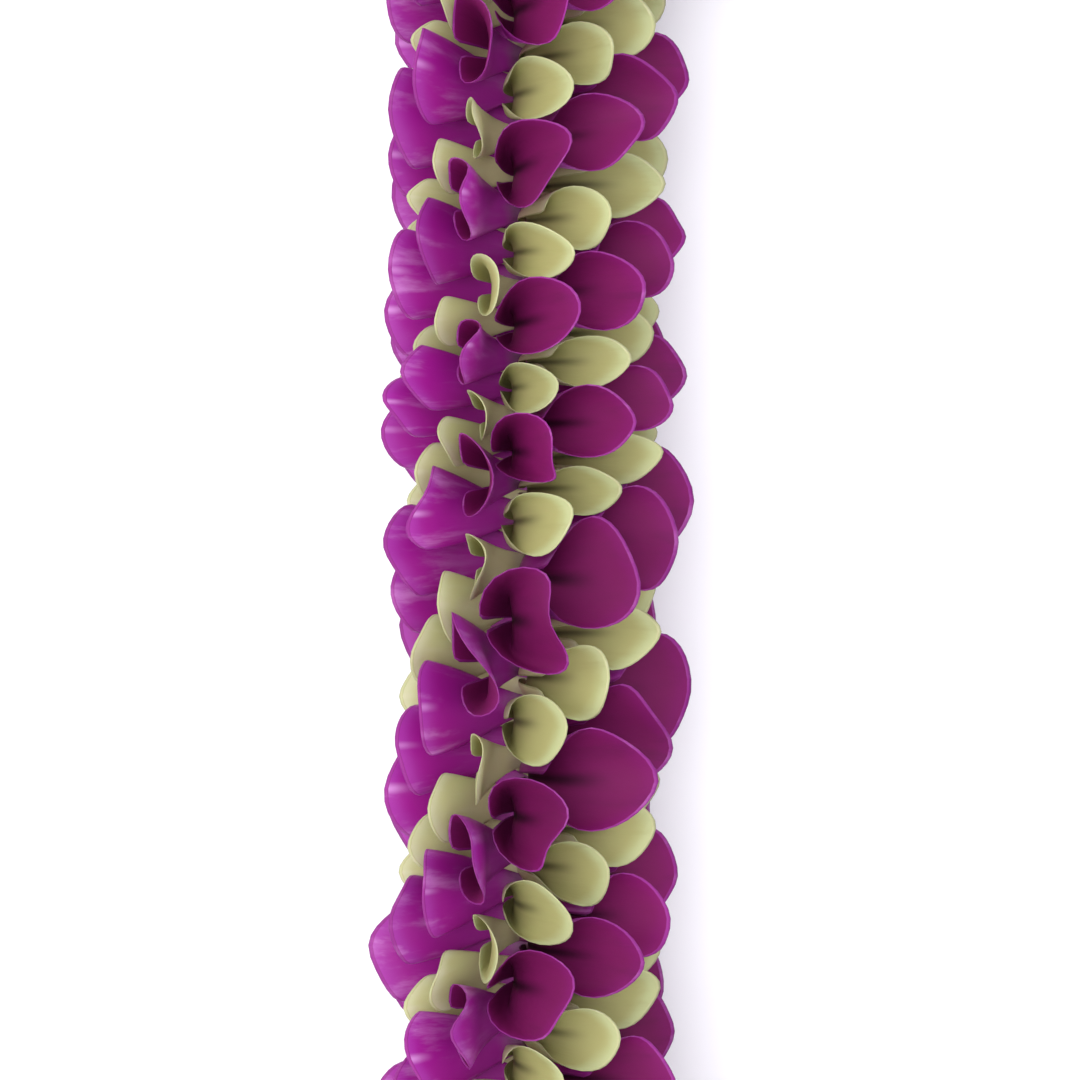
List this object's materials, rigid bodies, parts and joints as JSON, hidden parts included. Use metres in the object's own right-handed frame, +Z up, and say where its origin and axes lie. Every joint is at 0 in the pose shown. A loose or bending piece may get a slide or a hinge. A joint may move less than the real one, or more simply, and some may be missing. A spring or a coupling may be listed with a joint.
{
  "type": "flower lei",
  "caption": "Closed garland of folded purple and green orchid petals, sewn in spiral rows on a cotton string and laid flat as a long oval.",
  "frame": {"origin": "middle of the garland's base, on the surface it lies on", "axes": "+Z up from the surface, +Y along the two straight runs, +X across the oval"},
  "size_m": [0.2248, 0.4426, 0.0588],
  "materials": {
    "purple_petal": "fresh petal, satin, dark velvety front and paler glossy back",
    "green_petal": "fresh petal, satin, with a pale rim",
    "cotton_string": "matt twisted cotton"
  },
  "bodies": {
    "root": {"purple_row_a_1": "purple_petal", "purple_row_a_2": "purple_petal", "purple_row_a_3": "purple_petal", "purple_row_a_4": "purple_petal", "purple_row_a_5": "purple_petal", "purple_row_a_6": "purple_petal", "purple_row_a_7": "purple_petal", "purple_row_a_8": "purple_petal", "purple_row_b_1": "purple_petal", "purple_row_b_2": "purple_petal", "purple_row_b_3": "purple_petal", "purple_row_b_4": "purple_petal", "purple_row_b_5": "purple_petal", "purple_row_b_6": "purple_petal", "purple_row_b_7": "purple_petal", "purple_row_b_8": "purple_petal", "purple_row_c_1": "purple_petal", "purple_row_c_2": "purple_petal", "purple_row_c_3": "purple_petal", "purple_row_c_4": "purple_petal", "purple_row_c_5": "purple_petal", "purple_row_c_6": "purple_petal", "purple_row_c_7": "purple_petal", "purple_row_c_8": "purple_petal", "green_row_a_1": "green_petal", "green_row_a_2": "green_petal", "green_row_a_3": "green_petal", "green_row_a_4": "green_petal", "green_row_a_5": "green_petal", "green_row_a_6": "green_petal", "green_row_a_7": "green_petal", "green_row_a_8": "green_petal", "green_row_b_1": "green_petal", "green_row_b_2": "green_petal", "green_row_b_3": "green_petal", "green_row_b_4": "green_petal", "green_row_b_5": "green_petal", "green_row_b_6": "green_petal", "green_row_b_7": "green_petal", "green_row_b_8": "green_petal", "green_row_c_1": "green_petal", "green_row_c_2": "green_petal", "green_row_c_3": "green_petal", "green_row_c_4": "green_petal", "green_row_c_5": "green_petal", "green_row_c_6": "green_petal", "green_row_c_7": "green_petal", "green_row_c_8": "green_petal", "string": "cotton_string"}
  },
  "joints": []
}
